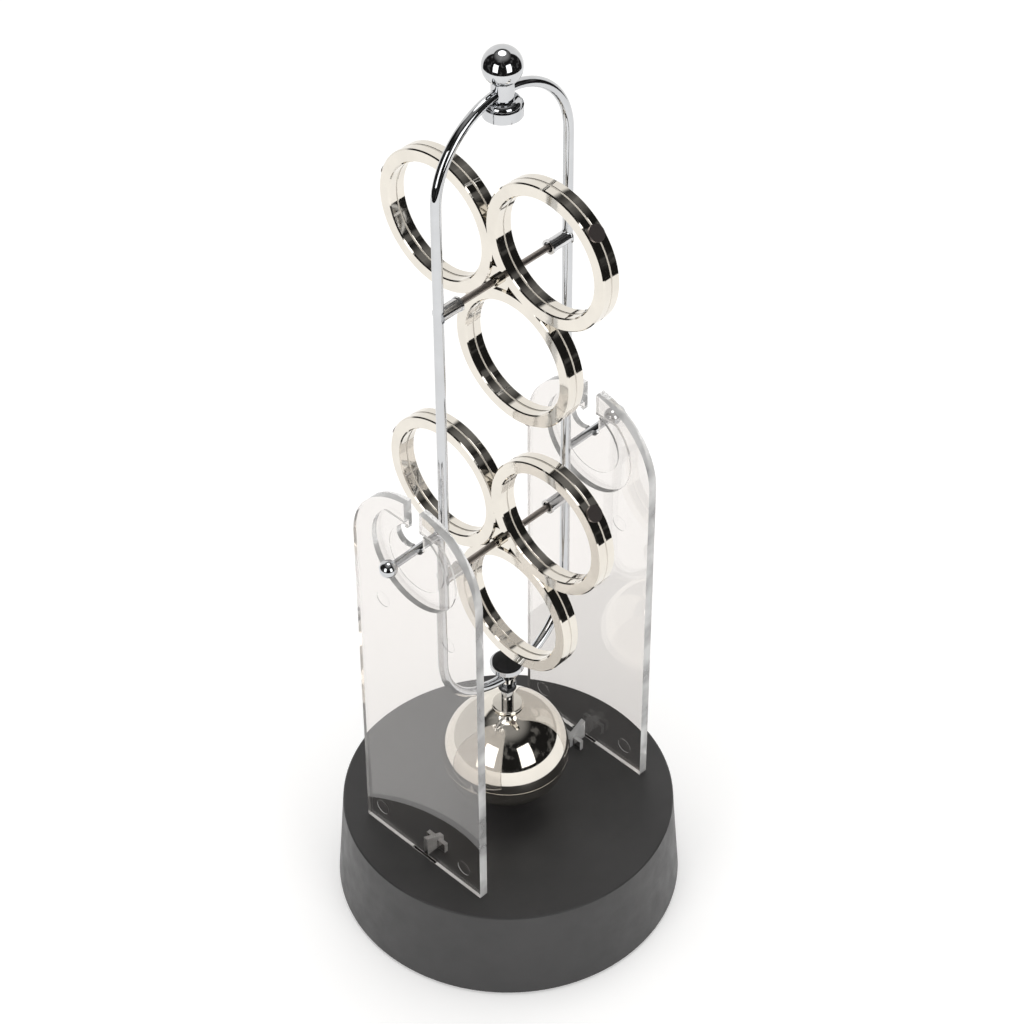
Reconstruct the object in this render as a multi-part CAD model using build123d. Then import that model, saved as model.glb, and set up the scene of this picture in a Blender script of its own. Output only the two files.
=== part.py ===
from build123d import *
import os
from math import cos, sin, radians, sqrt

# Base
base_bottom_r = 55.0
base_flare = 2.5
base_h = 33.5
base_wall = 2.4
rim_z = 1.0
rim_break = 0.35

# Bottom cover, feet and fixings
cover_gap = 0.3
cover_z = 1.4
cover_t = 2.0
foot_r = 5.0
foot_inset = 11.0
foot_angles = (30, 150, 270)
boss_inset = 9.0
boss_angles = (90, 210, 330)
boss_r = 3.5
screw_r = 1.3
screw_reach = 10.1
head_r = 2.8
head_t = 0.9
head_slot_l = 3.6
head_slot_w = 0.7
head_slot_d = 0.6

# Batteries and their box
cell_r = 7.1
cell_len = 49.0
cell_gap = 0.4
cell_count = 4
nub_r = 2.7
nub_len = 1.5
contact_room = 5.5
contact_half = 6.0
contact_t = 0.4
box_wall = 1.6
box_play = 0.3
box_over = 1.15
door_lip = 2.0
door_t = 1.15
door_gap = 0.1
grip_r = 6.0
grip_d = 0.4

# Drive coil and board
coil_r = 13.5
coil_hole_r = 4.0
bobbin_bore_r = 2.0
bobbin_r = 15.0
bobbin_h = 9.5
flange_t = 1.0
board_l = 40.0
board_w = 15.0
board_y = -33.5
board_t = 1.6
board_gap = 1.4
post_x = 16.0
post_r = 2.0
pin_r = 0.8
pin_len = 4.5
pin_head_t = 1.0
chip_l = 6.0
chip_w = 4.0
chip_t = 1.6
can_r = 3.0
can_h = 7.0
can_x = 5.0
driver_l = 2.5
driver_h = 4.5

# Clear side panels
panel_t = 3.0
panel_half_w = 25.0
panel_clear = 8.0
panel_over = 16.7
panel_relief = 0.15
bowl_r = 17.0
bowl_under = 3.6
bowl_roof = 9.2
bowl_corner_r = 2.5
web_t = 1.2
boss_ring_r = 11.0
boss_ring_t = 0.6
slot_w = 6.2
hook_r = 3.6
hook_y = 4.1
hook_rise = 1.1
foot_reach = 7.0
foot_h = 7.4
foot_web_t = 1.6
foot_cross_w = 8.0
foot_cross_t = 1.4
peg_w = 10.0
peg_t = 2.4
peg_h = 5.5
peg_gap = 0.05
pip_r = 2.6
pip_depth = 0.15
pip_inset = 7.0
pip_z = 8.5

# Rotors
ring_r = 22.0
ring_wall = 4.0
ring_sink = 0.5
rotor_w = 6.0
edge_break = 0.35
seam_break = 0.35
groove_side = 1.2
hub_r = 4.0
hub_recess = 0.6
hub_nose_r = 1.6
hub_nose_x = 5.2
upper_turn = 136.5
lower_turn = 138.5
magnet_r = 2.5
magnet_t = 2.4
magnet_stand = 0.4
axle_r = 1.0
axle_point = 0.3
axle_end_gap = 0.5
bush_r = 2.0
bush_flange_r = 2.25
bush_flange_t = 0.7
bush_len = 6.2
bush_bore_r = 1.05
bush_depth = 5.2
bush_mouth_r = 1.6
bush_mouth_d = 1.2

# Ball bob, neck and cup
bob_gap = 2.1
bob_r = 19.2
bob_wall = 1.2
seam_drop = 1.9
seam_groove_d = 0.25
seam_groove_h = 1.2
collar_r = 5.0
collar_t = 1.2
bob_magnet_r = 8.0
bob_magnet_t = 4.0
bob_weight_r = 13.0
bob_weight_t = 8.0
neck_r = 2.0
neck_len = 10.8
neck_ring_over = 0.8
neck_ring_z = 3.4
neck_ring_t = 1.8
neck_sink = 1.5
cup_r = 5.3
cup_h = 7.5
cup_lip = 1.4
cup_wall = 0.7
cup_foot_over = 0.5
cup_flare_z = 2.0
cup_band = 1.6
cup_over = 6.0
pad_dome_r = 9.0
pad_over = 1.9

# Wire loop, pivot rods and finial
wire_r = 1.5
loop_half_w = 25.0
pivot_rise = 52.0
rod_r = 1.25
rod_seat_gap = 0.02
rod_over = 9.5
ball_r = 2.7
pad_clear = 3.4
rotor_gap = 2.2
cap_clear = 6.1
cap_r = 5.6
cap_h = 5.0
cap_skirt = 3.1
cap_step = 0.5
cap_wall = 1.0
cap_round = 1.6
cap_gap = 0.7
stem_r = 3.2
stem_sink = 1.2
finial_gap = 0.6
finial_r = 5.6

# Heights and places that follow from the sizes above
base_top_r = base_bottom_r - base_flare
top_inside = base_h - base_wall
cell_pitch = 2 * cell_r + cell_gap
cell_z = cover_z + door_t + door_gap + cell_r
box_len = cell_len + nub_len + contact_room
box_w = cell_pitch * cell_count + 2 * box_play
box_top = cell_z + cell_r + box_over
board_z = box_top + board_gap
ring_hole_r = ring_r - ring_wall
ring_spread = 2 * ring_r / sqrt(3) - ring_sink
rotor_reach = ring_spread + ring_r + magnet_stand
bob_z = base_h + bob_gap + bob_r
cup_rim_z = bob_z + bob_r + neck_len + cup_h
loop_foot_z = cup_rim_z - cup_over
loop_low_z = loop_foot_z + loop_half_w
pivot_z = loop_low_z + pivot_rise
lower_z = cup_rim_z + pad_over + pad_clear + rotor_reach
upper_z = lower_z + 2 * rotor_reach + rotor_gap
cap_z = upper_z + rotor_reach + cap_clear
loop_top_z = cap_z + cap_h + cap_gap + wire_r - loop_half_w
finial_z = loop_top_z + loop_half_w + wire_r + finial_gap + finial_r
stem_top_z = finial_z - finial_r + stem_sink
panel_x = loop_half_w + wire_r + panel_clear + panel_t / 2
panel_top_z = pivot_z + panel_over
panel_round_z = panel_top_z - panel_half_w
bowl_z = pivot_z - bowl_under
rod_end_x = panel_x + panel_t / 2 + rod_over
bush_inner_x = loop_half_w - wire_r - bush_len
axle_half = bush_inner_x + bush_depth - axle_end_gap


def block(x0, x1, y0, y1, z0, z1):
    mid = Pos((x0 + x1) / 2, (y0 + y1) / 2, (z0 + z1) / 2)
    return mid * Box(x1 - x0, y1 - y0, z1 - z0)


def rod_z(r, z0, z1, x=0.0, y=0.0):
    return Pos(x, y, (z0 + z1) / 2) * Cylinder(r, z1 - z0)


def rod_x(r, x0, x1, y=0.0, z=0.0):
    return Pos((x0 + x1) / 2, y, z) * Rot(0, 90, 0) * Cylinder(r, x1 - x0)


def turned(points):
    face = make_face(Plane.XZ * Polyline(*points, close=True))
    return revolve(face, axis=Axis.Z)


def around(radius, angles):
    return [(radius * cos(radians(a)), radius * sin(radians(a))) for a in angles]


def base_shell():
    slope = (base_bottom_r - base_top_r) / (base_h - rim_z)
    shell = turned([
        (base_bottom_r - base_wall, rim_z),
        (base_bottom_r, rim_z),
        (base_top_r + slope * rim_break, base_h - rim_break),
        (base_top_r - rim_break, base_h),
        (0, base_h),
        (0, top_inside),
        (base_top_r - base_wall, top_inside),
    ])
    for x, y in around(base_bottom_r - boss_inset, boss_angles):
        shell += rod_z(boss_r, cover_z + cover_t, top_inside + 0.2, x, y)
        shell -= rod_z(screw_r, cover_z + cover_t - 1, cover_z + screw_reach + 0.5, x, y)
    for x in (-post_x, post_x):
        shell += rod_z(post_r, board_z + board_t, top_inside + 0.2, x, board_y)
        shell -= rod_z(pin_r, board_z, board_z + board_t + pin_len + 0.5, x, board_y)
    half_t = peg_t / 2 + peg_gap
    half_w = peg_w / 2 + peg_gap
    for x in (-panel_x, panel_x):
        shell -= block(x - half_t, x + half_t, -half_w, half_w, top_inside - 1, base_h + 1)
    return shell


def bottom_cover():
    cover_r = base_bottom_r - base_wall - cover_gap
    plate = rod_z(cover_r, cover_z, cover_z + cover_t)
    half_l = box_len / 2
    half_w = box_w / 2
    wall = block(-half_l - box_wall, half_l + box_wall, -half_w - box_wall,
                 half_w + box_wall, cover_z + cover_t - 0.1, box_top)
    cover = plate + wall
    cover -= block(-half_l, half_l, -half_w, half_w, 0, box_top + 1)
    lip_l = half_l + door_lip
    lip_w = half_w + door_lip
    cover -= block(-lip_l, lip_l, -lip_w, lip_w, 0, cover_z + door_t + 0.05)
    for x, y in around(base_bottom_r - boss_inset, boss_angles):
        cover -= rod_z(screw_r + 0.1, 0, cover_z + cover_t + 1, x, y)
        cover -= rod_z(head_r + 0.1, 0, cover_z + head_t + 0.1, x, y)
    return cover


def battery_door():
    lip_l = box_len / 2 + door_lip - door_gap
    lip_w = box_w / 2 + door_lip - door_gap
    door = block(-lip_l, lip_l, -lip_w, lip_w, cover_z, cover_z + door_t)
    door -= Pos(lip_l - grip_r - 1, 0, cover_z) * Cylinder(grip_r, 2 * grip_d)
    return door


def battery_cells():
    cells = []
    for i in range(cell_count):
        y = (i - (cell_count - 1) / 2) * cell_pitch
        way = 1 if i % 2 == 0 else -1
        shift = -way * nub_len / 2
        can = rod_x(cell_r, shift - cell_len / 2, shift + cell_len / 2, y, cell_z)
        tip = way * (cell_len + nub_len) / 2
        root = tip - way * nub_len
        nub = rod_x(nub_r, min(tip, root), max(tip, root), y, cell_z)
        cells.append(can + nub)
    return Compound(cells)


def battery_contacts():
    pieces = []
    wall_x = box_len / 2
    cell_x = (cell_len + nub_len) / 2
    for i in range(cell_count):
        y = (i - (cell_count - 1) / 2) * cell_pitch
        for side in (-1, 1):
            back = side * wall_x
            front = side * (wall_x - contact_t)
            tip = side * cell_x
            plate = block(min(front, back), max(front, back), y - contact_half, y + contact_half,
                          cell_z - contact_half, cell_z + contact_half)
            bump = rod_x(nub_r - 0.3, min(tip, front), max(tip, front), y, cell_z)
            pieces.append(plate + bump)
    return Compound(pieces)


def coil_bobbin():
    low = top_inside - bobbin_h
    body = rod_z(coil_hole_r, low, top_inside)
    body += rod_z(bobbin_r, low, low + flange_t)
    body += rod_z(bobbin_r, top_inside - flange_t, top_inside)
    return body - rod_z(bobbin_bore_r, low - 1, top_inside + 1)


def drive_coil():
    low = top_inside - bobbin_h + flange_t
    high = top_inside - flange_t
    return rod_z(coil_r, low, high) - rod_z(coil_hole_r, low - 1, high + 1)


def circuit_board():
    board = block(-board_l / 2, board_l / 2, board_y - board_w / 2, board_y + board_w / 2,
                  board_z, board_z + board_t)
    for x in (-post_x, post_x):
        board -= rod_z(pin_r + 0.1, board_z - 1, board_z + board_t + 1, x, board_y)
    return board


def board_parts():
    top = board_z + board_t
    front = board_y - chip_w / 2
    back = board_y + chip_w / 2
    chip = block(-9, chip_l - 9, front, back, top, top + chip_t)
    can = rod_z(can_r, top, top + can_h, can_x, board_y)
    coil_driver = block(-1.5, driver_l - 1.5, front, back, top, top + driver_h)
    return Compound([chip, can, coil_driver])


def board_screws():
    screws = []
    for x in (-post_x, post_x):
        head = rod_z(post_r - 0.3, board_z - pin_head_t, board_z, x, board_y)
        shank = rod_z(pin_r, board_z - 0.1, board_z + board_t + pin_len, x, board_y)
        screws.append(head + shank)
    return Compound(screws)


def cover_screws():
    screws = []
    for x, y in around(base_bottom_r - boss_inset, boss_angles):
        head = rod_z(head_r, cover_z + 0.1, cover_z + 0.1 + head_t, x, y)
        long = head_slot_l / 2
        thin = head_slot_w / 2
        head -= block(x - long, x + long, y - thin, y + thin, cover_z, cover_z + head_slot_d)
        head -= block(x - thin, x + thin, y - long, y + long, cover_z, cover_z + head_slot_d)
        screws.append(head + rod_z(screw_r, cover_z + head_t, cover_z + screw_reach, x, y))
    return Compound(screws)


def rubber_feet():
    pads = []
    for x, y in around(base_bottom_r - foot_inset, foot_angles):
        pads.append(rod_z(foot_r, 0, cover_z, x, y))
    return Compound(pads)


def plate_x(sketch, x0, x1):
    lying = extrude(sketch, x1 - x0)
    return Plane(origin=(x0, 0, 0), x_dir=(0, 1, 0), z_dir=(1, 0, 0)) * lying


def panel_outline():
    half = panel_half_w
    low = base_h + panel_relief
    outline = Pos(0, (low + panel_round_z) / 2) * Rectangle(2 * half, panel_round_z - low)
    return outline + Pos(0, panel_round_z) * Circle(half)


def bowl_outline():
    roof = Pos(0, pivot_z + bowl_roof + bowl_r) * Rectangle(3 * bowl_r, 2 * bowl_r)
    bowl = Pos(0, bowl_z) * Circle(bowl_r) - roof
    return fillet(bowl.vertices(), bowl_corner_r)


def notch_outline():
    seat_r = slot_w / 2
    seat_z = pivot_z - rod_r - rod_seat_gap + seat_r
    slot = Pos(0, (seat_z + panel_top_z + 5) / 2) * Rectangle(slot_w, panel_top_z + 5 - seat_z)
    hook = Pos(hook_y, seat_z + hook_rise) * Circle(hook_r)
    return slot + Pos(0, seat_z) * Circle(seat_r) + hook


def panel_foot(x):
    side = -1 if x > 0 else 1
    face = x + side * (panel_t / 2 - 0.3)
    toe = x + side * (panel_t / 2 + foot_reach)
    web = Polyline((face, base_h), (toe, base_h), (toe, base_h + foot_h / 2),
                   (face, base_h + foot_h), close=True)
    foot = extrude(make_face(Plane.XZ * web), foot_web_t / 2, both=True)
    far = toe - side * foot_cross_t
    near = far - side * foot_cross_t
    half = foot_cross_w / 2
    return foot + block(min(near, far), max(near, far), -half, half, base_h, base_h + foot_h / 2)


def side_panel(x):
    x0 = x - panel_t / 2
    x1 = x + panel_t / 2
    web_x = x1 - web_t
    panel = plate_x(panel_outline(), x0, x1)
    panel -= plate_x(bowl_outline(), x0 - 1, web_x)
    ring = Pos(0, bowl_z) * Circle(boss_ring_r)
    panel += plate_x(ring, web_x - boss_ring_t, web_x + 0.2)
    panel -= plate_x(notch_outline(), x0 - 1, x1 + 1)
    panel += panel_foot(x)
    panel += block(x - peg_t / 2, x + peg_t / 2, -peg_w / 2, peg_w / 2,
                   base_h - peg_h, base_h + 2 * panel_relief)
    pip_y = panel_half_w - pip_inset
    for y in (-pip_y, pip_y):
        panel -= rod_x(pip_r, x0 - 1, x0 + pip_depth, y, base_h + pip_z)
        panel -= rod_x(pip_r, x0 - 1, x0 + pip_depth, y * 0.75, bowl_z - bowl_r - pip_inset)
    return panel


def half_ring(z, up):
    ring = Pos(0, 0, z) * Rot(90, 0, 0) * Torus(loop_half_w, wire_r)
    reach = loop_half_w + 2 * wire_r
    if up:
        return ring & block(-reach, reach, -5, 5, z, z + reach)
    return ring & block(-reach, reach, -5, 5, z - reach, z)


def loop_wire():
    loop = half_ring(loop_top_z, True) + half_ring(loop_low_z, False)
    for side in (-1, 1):
        loop += rod_z(wire_r, loop_low_z, loop_top_z, side * loop_half_w)
    return loop


def pivot_rod(side):
    start = side * loop_half_w
    end = side * rod_end_x
    rod = rod_x(rod_r, min(start, end), max(start, end), 0, pivot_z)
    return rod - rod_z(wire_r, pivot_z - 5, pivot_z + 5, side * loop_half_w)


def pivot_ball(side):
    ball = Pos(side * rod_end_x, 0, pivot_z) * Sphere(ball_r)
    end = side * rod_end_x
    return ball - rod_x(rod_r, min(end, side * 30), max(end, side * 30), 0, pivot_z)


def finial_ball():
    ball = Pos(0, 0, finial_z) * Sphere(finial_r)
    return ball - rod_z(stem_r, cap_z, stem_top_z)


def finial_stem():
    return rod_z(stem_r, cap_z + cap_h, stem_top_z) - loop_wire()


def top_cap():
    crown = rod_z(cap_r - cap_step, cap_z + 1, cap_z + cap_h)
    crown = fillet(crown.edges().filter_by(GeomType.CIRCLE).sort_by(Axis.Z)[-1], cap_round)
    cap = crown + rod_z(cap_r, cap_z, cap_z + cap_skirt)
    cap -= rod_z(cap_r - cap_wall, cap_z - 1, cap_z + cap_skirt - 0.1)
    return cap - loop_wire()


def top_magnet():
    return rod_z(cap_r - cap_wall, cap_z + 0.2, cap_z + cap_skirt - 0.1)


def bottom_cup():
    rim = cup_rim_z
    floor = rim - cup_lip
    cup = turned([
        (0, rim - cup_h),
        (neck_r + cup_foot_over, rim - cup_h),
        (neck_r + cup_foot_over + 0.4, rim - cup_h + cup_flare_z),
        (cup_r - 0.6, rim - cup_band - 1.0),
        (cup_r, rim - cup_band),
        (cup_r, rim),
        (cup_r - cup_wall, rim),
        (cup_r - cup_wall, floor),
        (0, floor),
    ])
    return cup - loop_wire()


def cup_pad():
    pad = rod_z(cup_r - cup_wall, cup_rim_z - cup_lip, cup_rim_z + 2 * pad_over)
    crown = Pos(0, 0, cup_rim_z + pad_over - pad_dome_r) * Sphere(pad_dome_r)
    return pad & crown


def neck_stud():
    high = cup_rim_z - cup_h
    low = bob_z + bob_r - neck_sink
    stud = rod_z(neck_r, low, high)
    ring_low = high - neck_ring_z
    stud += rod_z(neck_r + neck_ring_over, ring_low, ring_low + neck_ring_t)
    return stud - loop_wire()


def bob_collar():
    low = bob_z + bob_r - 0.5
    disc = rod_z(collar_r, low, low + collar_t)
    disc = fillet(disc.edges().filter_by(GeomType.CIRCLE).sort_by(Axis.Z)[-1], 0.5)
    disc -= rod_z(neck_r, low - 1, low + 3)
    return disc - Pos(0, 0, bob_z) * Sphere(bob_r)


def bob_shell():
    shell = Pos(0, 0, bob_z) * Sphere(bob_r)
    return shell - Pos(0, 0, bob_z) * Sphere(bob_r - bob_wall)


def bob_upper():
    seam = bob_z - seam_drop
    reach = bob_r + 1
    half = bob_shell() & block(-reach, reach, -reach, reach, seam, bob_z + reach)
    half -= seam_groove(seam)
    return half - rod_z(neck_r, bob_z, bob_z + reach)


def seam_groove(seam):
    radius = sqrt(bob_r ** 2 - seam_drop ** 2)
    return turned([
        (radius - seam_groove_d, seam),
        (radius + 1.0, seam + seam_groove_h / 2),
        (radius + 1.0, seam - seam_groove_h / 2),
    ])


def bob_lower():
    seam = bob_z - seam_drop
    reach = bob_r + 1
    half = bob_shell() & block(-reach, reach, -reach, reach, bob_z - reach, seam)
    return half - seam_groove(seam)


def bob_magnet():
    inner = bob_r - bob_wall
    low = bob_z - sqrt(inner ** 2 - bob_magnet_r ** 2)
    return rod_z(bob_magnet_r, low, low + bob_magnet_t)


def bob_weight():
    inner = bob_r - bob_wall
    low = bob_z - sqrt(inner ** 2 - bob_magnet_r ** 2) + bob_magnet_t
    return rod_z(bob_weight_r, low, low + bob_weight_t)


def ring_section(front):
    way = -1 if front else 1
    half = rotor_w / 2
    groove_in = ring_hole_r + groove_side
    groove_out = ring_r - groove_side
    groove_d = half - groove_side
    pts = [
        (ring_hole_r + edge_break, half),
        (ring_r - edge_break, half),
        (ring_r, half - edge_break),
        (ring_r, seam_break),
        (ring_r - seam_break, 0),
        (groove_out, 0),
        (groove_out, groove_d),
        (groove_in, groove_d),
        (groove_in, 0),
        (ring_hole_r + seam_break, 0),
        (ring_hole_r, seam_break),
        (ring_hole_r, half - edge_break),
    ]
    return [(r, way * z) for r, z in pts]


def on_axle(shape, z):
    return Plane(origin=(0, 0, z), x_dir=(0, 1, 0), z_dir=(1, 0, 0)) * shape


def magnet_slug(angle):
    centre = rotor_reach - magnet_t / 2
    x = centre * cos(radians(angle))
    y = centre * sin(radians(angle))
    slug = Rot(0, 0, angle) * (Rot(0, 90, 0) * Cylinder(magnet_r, magnet_t))
    return Pos(x, y, 0) * slug


def rotor_half(front, turn, z):
    way = -1 if front else 1
    ring = turned(ring_section(front))
    hub_face = way * (rotor_w / 2 - hub_recess)
    half = rod_z(hub_r, min(0, hub_face), max(0, hub_face))
    half += rod_z(hub_nose_r, min(0, way * hub_nose_x), max(0, way * hub_nose_x))
    for x, y in around(ring_spread, (turn, turn + 120, turn + 240)):
        half += Pos(x, y, 0) * ring
    half -= rod_z(axle_r, -2 * hub_nose_x, 2 * hub_nose_x)
    for i in range(3):
        half -= magnet_slug(turn + 120 * i)
    return on_axle(half, z)


def rotor_magnets(turn, z):
    slugs = [magnet_slug(turn + 120 * i) for i in range(3)]
    return Compound([on_axle(s, z) for s in slugs])


def axle(z):
    pin = rod_x(axle_r, -axle_half, axle_half, 0, z)
    return chamfer(pin.edges().filter_by(GeomType.CIRCLE), axle_point)


def bushing(side, z):
    inner = side * bush_inner_x
    outer = side * loop_half_w
    step = side * (bush_inner_x + bush_flange_t)
    tube = rod_x(bush_r, min(inner, outer), max(inner, outer), 0, z)
    tube += rod_x(bush_flange_r, min(inner, step), max(inner, step), 0, z)
    hole_end = side * (bush_inner_x + bush_depth)
    tube -= rod_x(bush_bore_r, min(side * 15, hole_end), max(side * 15, hole_end), 0, z)
    mouth_end = side * (bush_inner_x + bush_mouth_d)
    tube -= rod_x(bush_mouth_r, min(side * 15, mouth_end), max(side * 15, mouth_end), 0, z)
    return tube - rod_z(wire_r, z - 6, z + 6, outer)


parts = {
    "base_shell": base_shell(),
    "bottom_cover": bottom_cover(),
    "battery_door": battery_door(),
    "battery_cells": battery_cells(),
    "battery_contacts": battery_contacts(),
    "coil_bobbin": coil_bobbin(),
    "drive_coil": drive_coil(),
    "circuit_board": circuit_board(),
    "board_parts": board_parts(),
    "board_screws": board_screws(),
    "cover_screws": cover_screws(),
    "rubber_feet": rubber_feet(),
    "left_panel": side_panel(-panel_x),
    "right_panel": side_panel(panel_x),
    "loop_wire": loop_wire(),
    "left_pivot_rod": pivot_rod(-1),
    "right_pivot_rod": pivot_rod(1),
    "left_pivot_ball": pivot_ball(-1),
    "right_pivot_ball": pivot_ball(1),
    "finial_ball": finial_ball(),
    "finial_stem": finial_stem(),
    "top_cap": top_cap(),
    "top_magnet": top_magnet(),
    "bottom_cup": bottom_cup(),
    "cup_pad": cup_pad(),
    "neck_stud": neck_stud(),
    "bob_collar": bob_collar(),
    "bob_upper": bob_upper(),
    "bob_lower": bob_lower(),
    "bob_magnet": bob_magnet(),
    "bob_weight": bob_weight(),
    "upper_left_bushing": bushing(-1, upper_z),
    "upper_right_bushing": bushing(1, upper_z),
    "lower_left_bushing": bushing(-1, lower_z),
    "lower_right_bushing": bushing(1, lower_z),
    "upper_rotor_front": rotor_half(True, upper_turn, upper_z),
    "upper_rotor_back": rotor_half(False, upper_turn, upper_z),
    "upper_rotor_magnets": rotor_magnets(upper_turn, upper_z),
    "upper_axle": axle(upper_z),
    "lower_rotor_front": rotor_half(True, lower_turn, lower_z),
    "lower_rotor_back": rotor_half(False, lower_turn, lower_z),
    "lower_rotor_magnets": rotor_magnets(lower_turn, lower_z),
    "lower_axle": axle(lower_z),
}

os.makedirs("parts", exist_ok=True)
for name, shape in parts.items():
    export_step(shape, f"parts/{name}.step")
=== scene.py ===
import math

import bpy
from mathutils import Matrix, Vector


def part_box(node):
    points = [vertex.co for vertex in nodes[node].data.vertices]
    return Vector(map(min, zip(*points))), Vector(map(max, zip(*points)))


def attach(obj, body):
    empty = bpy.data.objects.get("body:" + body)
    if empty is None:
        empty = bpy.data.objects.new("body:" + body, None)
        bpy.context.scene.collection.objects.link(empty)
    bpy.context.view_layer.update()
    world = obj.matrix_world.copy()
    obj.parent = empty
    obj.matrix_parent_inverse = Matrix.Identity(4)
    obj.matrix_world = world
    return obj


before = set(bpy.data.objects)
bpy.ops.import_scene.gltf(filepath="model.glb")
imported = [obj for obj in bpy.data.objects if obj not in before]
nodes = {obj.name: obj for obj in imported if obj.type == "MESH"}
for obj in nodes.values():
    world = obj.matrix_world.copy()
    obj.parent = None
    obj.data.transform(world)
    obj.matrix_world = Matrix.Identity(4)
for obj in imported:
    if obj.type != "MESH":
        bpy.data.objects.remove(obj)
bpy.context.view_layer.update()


# ---- The view ----
# A long lens on a tall stand, in front of the left upright and well above the finial, so that both rotors
# and the top of the base show together. The camera leans by a third of a degree.
view_azimuth = math.radians(-135.14)
view_height = math.radians(42.46)
view_distance = 0.8921
view_target = Vector((0.0014, -0.0011, 0.154))
view_lean = math.radians(-0.36)
view_lens = 107.44
view_sensor = 36.0

toward_camera = Vector((
    math.cos(view_height) * math.cos(view_azimuth),
    math.cos(view_height) * math.sin(view_azimuth),
    math.sin(view_height),
))
lens = bpy.data.cameras.new("view_lens")
lens.lens = view_lens
lens.sensor_width = view_sensor
camera = bpy.data.objects.new("view_camera", lens)
look = (-toward_camera).to_track_quat("-Z", "Y").to_matrix().to_4x4()
stand_point = Matrix.Translation(view_target + toward_camera * view_distance)
camera.matrix_world = stand_point @ look @ Matrix.Rotation(view_lean, 4, "Z")
bpy.context.scene.collection.objects.link(camera)
bpy.context.scene.camera = camera
bpy.context.scene.view_settings.view_transform = "Standard"


# ---- The table ----
# A round table top of white opal plastic, lit faintly from within. It is matt and a little bigger than
# the view, so that every polished part has a pale surface to mirror from below.
table_radius = 0.62
table_drop = 0.0002
table_white = (0.9, 0.9, 0.9)
table_glow = 0.2


def flat_disc(name, radius, height, steps=96):
    rim = [
        (radius * math.cos(2 * math.pi * i / steps), radius * math.sin(2 * math.pi * i / steps), height)
        for i in range(steps)
    ]
    mesh = bpy.data.meshes.new(name)
    mesh.from_pydata(rim, [], [range(steps)])
    disc = bpy.data.objects.new(name, mesh)
    bpy.context.scene.collection.objects.link(disc)
    return disc


def new_finish(name):
    finish = bpy.data.materials.new(name)
    finish.use_nodes = True
    tree = finish.node_tree
    return finish, tree, tree.nodes["Principled BSDF"]


table = flat_disc("table_top", table_radius, -table_drop)
table_paint, tree, shader = new_finish("table_paint")
shader.inputs["Base Color"].default_value = (*table_white, 1.0)
shader.inputs["Roughness"].default_value = 0.9
shader.inputs["Specular IOR Level"].default_value = 0.0
shader.inputs["Emission Color"].default_value = (1.0, 1.0, 1.0, 1.0)
shader.inputs["Emission Strength"].default_value = table_glow
table.data.materials.append(table_paint)


# ---- The studio ----
# A white sweep behind the table, two tall soft boxes by the camera and a round one overhead, in an unlit
# room with dim shapes of furniture. Only the outer face of polished parts mirrors the room. All else is
# lit evenly.
sweep_half_width = math.radians(62)
sweep_top = math.radians(47)
room_glow = 0.012
ceiling_glow = 0.28
ceiling_low = 0.72
ceiling_high = 0.95
room_shapes = 0.10
shape_scale = 3.2
even_light = 0.74
sweep_light = 1.0
sweep_fade = 0.12
top_fade = 0.05
diagonal = 0.7071
backdrop_lift = 0.3
studio_white = (1.0, 0.99, 0.975)

world = bpy.data.worlds.new("studio")
bpy.context.scene.world = world
world.use_nodes = True
tree = world.node_tree
tree.nodes.clear()


def world_math(operation, first, second=None):
    node = tree.nodes.new("ShaderNodeMath")
    node.operation = operation
    for socket, value in zip(node.inputs, (first, second)):
        if value is None:
            continue
        if isinstance(value, (int, float)):
            socket.default_value = value
        else:
            tree.links.new(value, socket)
    return node.outputs[0]


def soft_step(value, low, high):
    node = tree.nodes.new("ShaderNodeMapRange")
    node.interpolation_type = "SMOOTHSTEP"
    node.inputs["From Min"].default_value = low
    node.inputs["From Max"].default_value = high
    tree.links.new(value, node.inputs["Value"])
    return node.outputs["Result"]


place = tree.nodes.new("ShaderNodeTexCoord")
parts = tree.nodes.new("ShaderNodeSeparateXYZ")
tree.links.new(place.outputs["Generated"], parts.inputs[0])
x, y, z = (parts.outputs[axis] for axis in "XYZ")
along = world_math("ADD", world_math("MULTIPLY", x, diagonal), world_math("MULTIPLY", y, diagonal))
level = world_math("SQRT", world_math("ADD", world_math("MULTIPLY", x, x), world_math("MULTIPLY", y, y)))
facing = world_math("DIVIDE", along, world_math("MAXIMUM", level, 0.001))
in_sweep = soft_step(facing, math.cos(sweep_half_width), math.cos(sweep_half_width - sweep_fade))
under_top = soft_step(z, math.sin(sweep_top + top_fade), math.sin(sweep_top - top_fade))
white_part = world_math("MULTIPLY", in_sweep, under_top)
ceiling = world_math("MULTIPLY", soft_step(z, ceiling_low, ceiling_high), ceiling_glow)
shapes = tree.nodes.new("ShaderNodeTexNoise")
shapes.inputs["Scale"].default_value = shape_scale
shapes.inputs["Detail"].default_value = 3.0
tree.links.new(place.outputs["Generated"], shapes.inputs["Vector"])
furniture = world_math("MULTIPLY", soft_step(shapes.outputs["Fac"], 0.54, 0.68), room_shapes)
unlit = world_math("ADD", world_math("ADD", room_glow, ceiling), furniture)
room = world_math("ADD", unlit, world_math("MULTIPLY", white_part, sweep_light))
ray = tree.nodes.new("ShaderNodeLightPath")
mirrored = world_math("MULTIPLY", ray.outputs["Is Glossy Ray"], ray.outputs["Is Reflection Ray"])
outside = world_math("LESS_THAN", ray.outputs["Transmission Depth"], 0.5)
seen_in_polish = world_math("MULTIPLY", mirrored, outside)
backdrop = world_math("ADD", even_light, world_math("MULTIPLY", ray.outputs["Is Camera Ray"], backdrop_lift))
blend = tree.nodes.new("ShaderNodeMix")
blend.data_type = "FLOAT"
tree.links.new(seen_in_polish, blend.inputs["Factor"])
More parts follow.
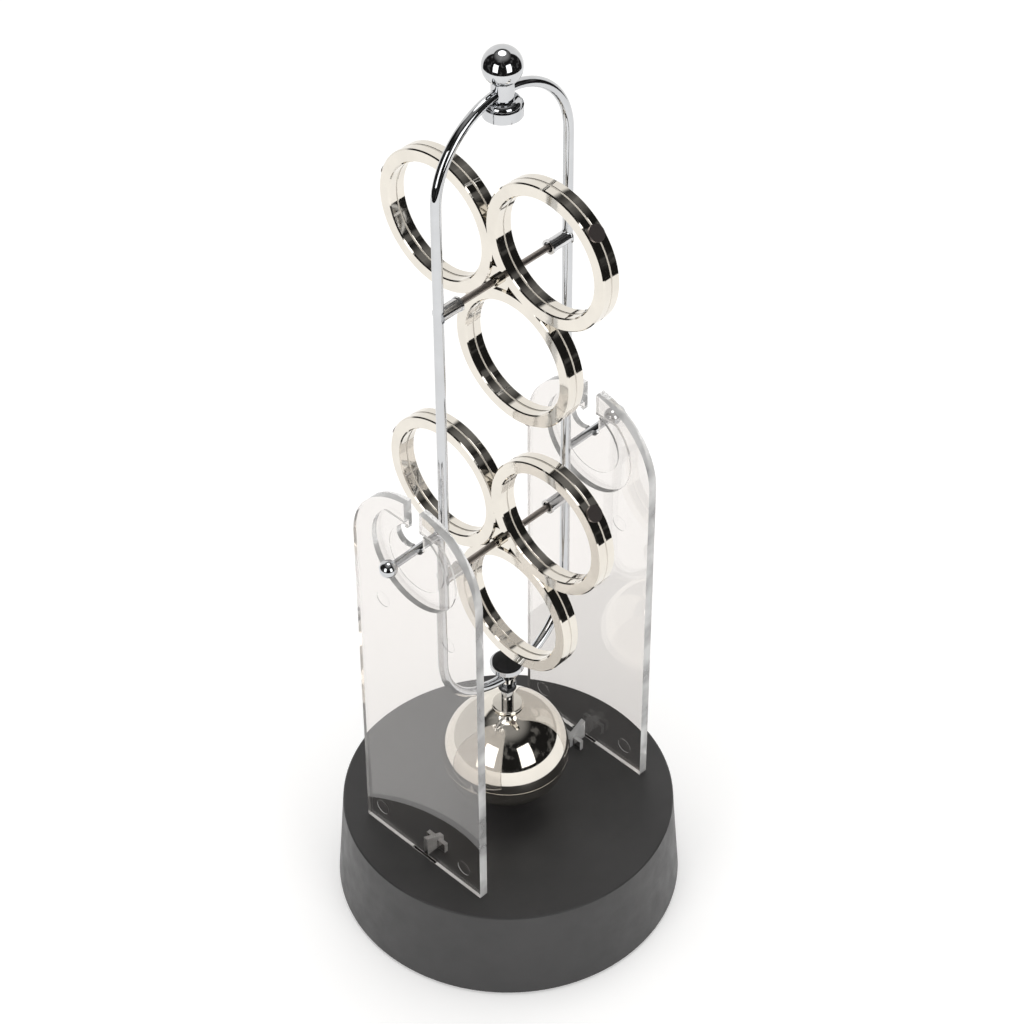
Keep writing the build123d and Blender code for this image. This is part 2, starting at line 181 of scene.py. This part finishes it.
tree.links.new(backdrop, blend.inputs["A"])
tree.links.new(room, blend.inputs["B"])
glow = tree.nodes.new("ShaderNodeBackground")
glow.inputs["Color"].default_value = (*studio_white, 1.0)
tree.links.new(blend.outputs["Result"], glow.inputs["Strength"])
end = tree.nodes.new("ShaderNodeOutputWorld")
tree.links.new(glow.outputs[0], end.inputs[0])


box_aim = Vector((0, 0, 0.18))
box_distance = 1.3
side_box_turn = math.radians(37)
side_box_height = math.radians(16)
side_box_size = (0.62, 0.95)
side_box_light = 2.2
top_box_height = math.radians(101)
top_box_size = (0.72, 0.72)
top_box_light = 3.0


def soft_box(name, azimuth, height, size, brightness, shape):
    way = Vector((
        math.cos(height) * math.cos(azimuth),
        math.cos(height) * math.sin(azimuth),
        math.sin(height),
    ))
    lamp = bpy.data.lights.new(name, "AREA")
    lamp.shape = shape
    lamp.size, lamp.size_y = size
    area = size[0] * size[1] * (math.pi / 4 if shape == "DISK" else 1.0)
    lamp.energy = brightness * math.pi * area
    box = bpy.data.objects.new(name, lamp)
    turn = way.to_track_quat("Z", "Y").to_matrix().to_4x4()
    box.matrix_world = Matrix.Translation(box_aim + way * box_distance) @ turn
    box.visible_camera = False
    bpy.context.scene.collection.objects.link(box)


for name, turn in (("left_soft_box", -side_box_turn), ("right_soft_box", side_box_turn)):
    soft_box(name, view_azimuth + turn, side_box_height, side_box_size, side_box_light, "RECTANGLE")
soft_box("round_soft_box", view_azimuth, top_box_height, top_box_size, top_box_light, "DISK")


# ---- Base shell, bottom cover and battery lid ----
# Black ABS mouldings. The shell has a fine spark-eroded grain all over. The cover, the lid and the coil's
# bobbin are the same plastic with a coarser grain.
base_black = (0.025, 0.0245, 0.025)
base_worn = (0.034, 0.033, 0.0335)


def object_place(tree):
    place = tree.nodes.new("ShaderNodeTexCoord")
    return place.outputs["Object"]


def noise(tree, size, detail=3.0, roughness=0.55):
    node = tree.nodes.new("ShaderNodeTexNoise")
    node.inputs["Scale"].default_value = 1.0 / size
    node.inputs["Detail"].default_value = detail
    node.inputs["Roughness"].default_value = roughness
    tree.links.new(object_place(tree), node.inputs["Vector"])
    return node.outputs["Fac"]


def feed(tree, value, shader, socket):
    tree.links.new(value, shader.inputs[socket])


def ramp_colours(tree, value, low, high, first, second):
    node = tree.nodes.new("ShaderNodeValToRGB")
    node.color_ramp.elements[0].position = low
    node.color_ramp.elements[1].position = high
    node.color_ramp.elements[0].color = (*first, 1.0)
    node.color_ramp.elements[1].color = (*second, 1.0)
    tree.links.new(value, node.inputs["Fac"])
    return node.outputs["Color"]


def ramp_values(tree, value, low, high, first, second):
    node = tree.nodes.new("ShaderNodeMapRange")
    node.inputs["From Min"].default_value = low
    node.inputs["From Max"].default_value = high
    node.inputs["To Min"].default_value = first
    node.inputs["To Max"].default_value = second
    tree.links.new(value, node.inputs["Value"])
    return node.outputs["Result"]


def bump(tree, shader, value, depth, strength):
    node = tree.nodes.new("ShaderNodeBump")
    node.inputs["Distance"].default_value = depth
    node.inputs["Strength"].default_value = strength
    tree.links.new(value, node.inputs["Height"])
    tree.links.new(node.outputs["Normal"], shader.inputs["Normal"])


def moulded_black(name, grain, gloss=0.42):
    finish, tree, shader = new_finish(name)
    patches = noise(tree, 0.022, 5.0, 0.6)
    feed(tree, ramp_colours(tree, patches, 0.3, 0.75, base_black, base_worn), shader, "Base Color")
    sheen = ramp_values(tree, noise(tree, 0.006, 4.0), 0.3, 0.7, gloss - 0.05, gloss + 0.07)
    feed(tree, sheen, shader, "Roughness")
    shader.inputs["Specular IOR Level"].default_value = 0.5
    bump(tree, shader, noise(tree, grain, 2.0), 0.00003, 0.55)
    return finish


def finish_nodes(finish, *names, smooth=math.radians(28)):
    for name in names:
        mesh = nodes[name].data
        mesh.materials.clear()
        mesh.materials.append(finish)
        mesh.shade_smooth()
        mesh.set_sharp_from_angle(angle=smooth)


finish_nodes(moulded_black("base_shell_black", 0.00028), "base_shell")
finish_nodes(moulded_black("cover_black", 0.0005, gloss=0.55), "bottom_cover", "battery_door", "coil_bobbin")


# ---- Feet and screws ----
# Three die-cut rubber pads are stuck to the cover. Three zinc-plated screws hold the cover to the shell
# and two more hold the circuit board.
def soft_rubber(name, colour):
    finish, tree, shader = new_finish(name)
    lighter = tuple(c * 1.6 for c in colour)
    feed(tree, ramp_colours(tree, noise(tree, 0.004, 5.0), 0.35, 0.7, colour, lighter), shader, "Base Color")
    shader.inputs["Roughness"].default_value = 0.72
    shader.inputs["Specular IOR Level"].default_value = 0.3
    bump(tree, shader, noise(tree, 0.0002, 2.0), 0.00003, 0.5)
    return finish


def brushed_metal(name, colour, gloss, grain=0.0008, stretch=(14.0, 1.0, 1.0)):
    finish, tree, shader = new_finish(name)
    shader.inputs["Metallic"].default_value = 1.0
    place = tree.nodes.new("ShaderNodeMapping")
    place.inputs["Scale"].default_value = stretch
    tree.links.new(object_place(tree), place.inputs["Vector"])
    lines = tree.nodes.new("ShaderNodeTexNoise")
    lines.inputs["Scale"].default_value = 1.0 / grain
    lines.inputs["Detail"].default_value = 3.0
    tree.links.new(place.outputs[0], lines.inputs["Vector"])
    darker = tuple(c * 0.8 for c in colour)
    marks = lines.outputs["Fac"]
    feed(tree, ramp_colours(tree, marks, 0.3, 0.7, darker, colour), shader, "Base Color")
    feed(tree, ramp_values(tree, marks, 0.3, 0.7, gloss + 0.08, gloss), shader, "Roughness")
    bump(tree, shader, marks, 0.00001, 0.4)
    return finish


zinc = brushed_metal("zinc_plate", (0.62, 0.62, 0.63), 0.3)
finish_nodes(soft_rubber("foot_rubber", (0.022, 0.022, 0.022)), "rubber_feet")
finish_nodes(zinc, "cover_screws", "board_screws", "battery_contacts")


# ---- Works inside the base ----
# A coil of enamelled copper on its bobbin, a green circuit board with its parts, and four dry cells
# with plain sleeves. They show when the lid is off.
copper, tree, shader = new_finish("coil_copper")
shader.inputs["Metallic"].default_value = 1.0
turns = tree.nodes.new("ShaderNodeTexWave")
turns.bands_direction = "Z"
turns.inputs["Scale"].default_value = 900.0
turns.inputs["Distortion"].default_value = 0.6
tree.links.new(object_place(tree), turns.inputs["Vector"])
copper_dark = (0.32, 0.10, 0.035)
copper_light = (0.72, 0.30, 0.12)
winding = turns.outputs["Fac"]
feed(tree, ramp_colours(tree, winding, 0.1, 0.9, copper_dark, copper_light), shader, "Base Color")
shader.inputs["Roughness"].default_value = 0.28
bump(tree, shader, winding, 0.0001, 0.7)
finish_nodes(copper, "drive_coil")

board, tree, shader = new_finish("board_green")
board_dark = (0.012, 0.085, 0.03)
board_light = (0.02, 0.15, 0.055)
tracks = noise(tree, 0.0016, 2.0, 0.4)
feed(tree, ramp_colours(tree, tracks, 0.47, 0.53, board_dark, board_light), shader, "Base Color")
shader.inputs["Roughness"].default_value = 0.3
finish_nodes(board, "circuit_board")
finish_nodes(moulded_black("board_parts_black", 0.0004, gloss=0.4), "board_parts")

sleeve, tree, shader = new_finish("cell_sleeve")
along_cell = tree.nodes.new("ShaderNodeSeparateXYZ")
tree.links.new(object_place(tree), along_cell.inputs[0])
sleeve_dark = (0.05, 0.05, 0.055)
sleeve_band = (0.55, 0.33, 0.12)
band_start = 0.004
in_band = ramp_values(tree, along_cell.outputs["X"], band_start, band_start + 0.0005, 0.0, 1.0)
feed(tree, ramp_colours(tree, in_band, 0.45, 0.55, sleeve_dark, sleeve_band), shader, "Base Color")
shader.inputs["Metallic"].default_value = 0.6
feed(tree, ramp_values(tree, noise(tree, 0.003), 0.3, 0.7, 0.28, 0.42), shader, "Roughness")
finish_nodes(sleeve, "battery_cells")


# ---- Clear uprights ----
# Two identical mouldings in clear styrene, 3 mm thick, pegged into the base. The faces are polished, with a
# slight flow ripple and a faint warm grey cast. The edges are drawn pale and cloudy, a painted highlight for
# the light they catch.
def size_along_x(tree, vector):
    split = tree.nodes.new("ShaderNodeSeparateXYZ")
    tree.links.new(vector, split.inputs[0])
    size = tree.nodes.new("ShaderNodeMath")
    size.operation = "ABSOLUTE"
    tree.links.new(split.outputs["X"], size.inputs[0])
    return size.outputs[0]


clear, tree, shader = new_finish("clear_styrene")
styrene_index = 1.59
shader.inputs["IOR"].default_value = styrene_index
true_normal = tree.nodes.new("ShaderNodeNewGeometry").outputs["True Normal"]
# Painted highlight: faces that don't point along X are made paler and less clear, so the edges show white.
on_face = ramp_values(tree, size_along_x(tree, true_normal), 0.6, 0.9, 0.0, 1.0)
edge_highlight_haze = ramp_values(tree, noise(tree, 0.011, 2.0), 0.35, 0.65, 0.45, 0.75)
through = tree.nodes.new("ShaderNodeMix")
tree.links.new(on_face, through.inputs["Factor"])
tree.links.new(edge_highlight_haze, through.inputs["A"])
through.inputs["B"].default_value = 1.0
edge_highlight_tint = (0.93, 0.93, 0.925)
face_tint = (0.83, 0.805, 0.785)
feed(tree, through.outputs["Result"], shader, "Transmission Weight")
feed(tree, ramp_colours(tree, on_face, 0.0, 1.0, edge_highlight_tint, face_tint), shader, "Base Color")
feed(tree, ramp_values(tree, noise(tree, 0.02, 4.0), 0.5, 0.8, 0.0, 0.012), shader, "Roughness")
bump(tree, shader, noise(tree, 0.03, 1.0, 0.3), 0.00003, 0.25)
finish_nodes(clear, "left_panel", "right_panel", smooth=math.radians(20))


# ---- Wire loop, pivot rods and their balls ----
# One length of 3 mm steel wire bent to a loop, with two short rods welded to its sides and turned
# balls on their ends. All of it is chrome plated after welding.
chrome_colour = (0.60, 0.61, 0.625)


def polished_metal(name, colour, gloss=0.035, ripple=0.00001, ripple_size=0.004):
    finish, tree, shader = new_finish(name)
    shader.inputs["Metallic"].default_value = 1.0
    dimmer = tuple(c * 0.93 for c in colour)
    feed(tree, ramp_colours(tree, noise(tree, 0.008, 4.0), 0.35, 0.7, dimmer, colour), shader, "Base Color")
    wipes = noise(tree, 0.0012, 5.0, 0.7)
    feed(tree, ramp_values(tree, wipes, 0.45, 0.8, gloss, gloss + 0.07), shader, "Roughness")
    bump(tree, shader, noise(tree, ripple_size, 1.0, 0.3), ripple, 0.4)
    return finish


chrome = polished_metal("chrome_plate", chrome_colour)
finish_nodes(chrome, "loop_wire", "left_pivot_rod", "right_pivot_rod", "left_pivot_ball", "right_pivot_ball")


# ---- Weld fillets ----
# Where a pivot rod or an axle bushing meets the wire, the joint is brazed before plating. That leaves a
# small hollow fillet all round, drawn here from the wire's side to the rod's side.
wire_radius = 0.0015
rod_radius = 0.00125
bushing_radius = 0.002
loop_half_width = 0.025
fillet_sink = 0.00003
rod_sink = 0.00002
rod_fillet = 0.0006
bushing_fillet = 0.0005
wobble = 0.08
wobble_lobes = 3
wobble_shift = 900.0
fillet_steps = 48
fillet_curve = 7


def weld_fillet(name, radius, side, way, height, reach):
    corners = []
    for i in range(fillet_steps):
        turn = 2 * math.pi * i / fillet_steps
        rough = reach * (1.0 + wobble * math.sin(wobble_lobes * turn + height * wobble_shift))
        for j in range(fillet_curve):
            bend = math.pi / 2 * j / (fillet_curve - 1)
            out = radius - rod_sink + rough * (1 - math.sin(bend))
            y = out * math.cos(turn)
            hug = math.sqrt(max(wire_radius ** 2 - y ** 2, 0.0))
            x = hug - fillet_sink + rough * (1 - math.cos(bend))
            corners.append((side * (loop_half_width + way * x), y, height + out * math.sin(turn)))
    faces = []
    for i in range(fillet_steps):
        after = (i + 1) % fillet_steps
        for j in range(fillet_curve - 1):
            faces.append((i * fillet_curve + j, after * fillet_curve + j,
                          after * fillet_curve + j + 1, i * fillet_curve + j + 1))
    mesh = bpy.data.meshes.new(name)
    mesh.from_pydata(corners, [], faces)
    mesh.materials.append(chrome)
    mesh.shade_smooth()
    piece = bpy.data.objects.new(name, mesh)
    bpy.context.scene.collection.objects.link(piece)
    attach(piece, "swing")


def middle_height(node):
    low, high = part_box(node)
    return (low[2] + high[2]) / 2


for side, end in ((-1, "left"), (1, "right")):
    weld_fillet(f"{end}_rod_fillet", rod_radius, side, 1, middle_height(f"{end}_pivot_rod"), rod_fillet)
    for level in ("upper", "lower"):
        bushing = f"{level}_{end}_bushing"
        weld_fillet(f"{bushing}_fillet", bushing_radius, side, -1, middle_height(bushing), bushing_fillet)


# ---- Finial, cap, cup and bushings ----
# Turned fittings, chrome plated like the wire and pushed or soldered on to it. The bushings still carry
# the fine marks of the lathe, so they shine less.
finish_nodes(chrome, "finial_ball", "finial_stem", "top_cap", "bottom_cup", "neck_stud")
satin_chrome = polished_metal("satin_chrome", (0.68, 0.68, 0.69), 0.16)
finish_nodes(
    satin_chrome, "upper_left_bushing", "upper_right_bushing", "lower_left_bushing", "lower_right_bushing"
)
finish_nodes(soft_rubber("pad_rubber", (0.012, 0.012, 0.013)), "cup_pad")


# ---- Rotors ----
# Each rotor is three joined rings, moulded in two halves and vacuum plated with bright nickel,
# which is warmer than chrome. Along the seam the plate is dulled to a pale line, a painted highlight for the
# light the seam catches. A 2 mm pin runs through its hub.
nickel_colour = (0.79, 0.75, 0.68)
seam_half_width = 0.00028
nickel = polished_metal("bright_nickel", nickel_colour, 0.045, 0.00022, 0.008)
tree = nickel.node_tree
shader = tree.nodes["Principled BSDF"]
# Painted highlight: a thin band at the seam is made rough and half metallic, so it shows as a pale line.
from_seam = size_along_x(tree, object_place(tree))
off_seam = ramp_values(tree, from_seam, seam_half_width * 0.7, seam_half_width, 0.0, 1.0)
for socket, seam_highlight_value in (("Roughness", 0.55), ("Metallic", 0.35)):
    mixed = tree.nodes.new("ShaderNodeMix")
    mixed.inputs["A"].default_value = seam_highlight_value
    mixed.inputs["B"].default_value = 1.0
    if shader.inputs[socket].links:
        tree.links.new(shader.inputs[socket].links[0].from_socket, mixed.inputs["B"])
    tree.links.new(off_seam, mixed.inputs["Factor"])
    tree.links.new(mixed.outputs["Result"], shader.inputs[socket])
finish_nodes(nickel, "upper_rotor_front", "upper_rotor_back", "lower_rotor_front", "lower_rotor_back")
axle_grey = brushed_metal("axle_grey", (0.33, 0.295, 0.27), 0.32, 0.0006, (1.0, 14.0, 14.0))
magnet_grey = brushed_metal("magnet_grey", (0.30, 0.262, 0.252), 0.34)
finish_nodes(axle_grey, "upper_axle", "lower_axle")
finish_nodes(magnet_grey, "upper_rotor_magnets", "lower_rotor_magnets", "top_magnet", "bob_magnet")


# ---- Bob ----
# A ball moulded in two plated halves round a magnet and a steel weight, hung on the neck stud
# under a small collar.
bob_nickel = polished_metal("bob_nickel", nickel_colour, 0.045, 0.00004, 0.009)
finish_nodes(bob_nickel, "bob_collar", "bob_upper", "bob_lower")
finish_nodes(brushed_metal("weight_steel", (0.4, 0.4, 0.41), 0.4), "bob_weight")
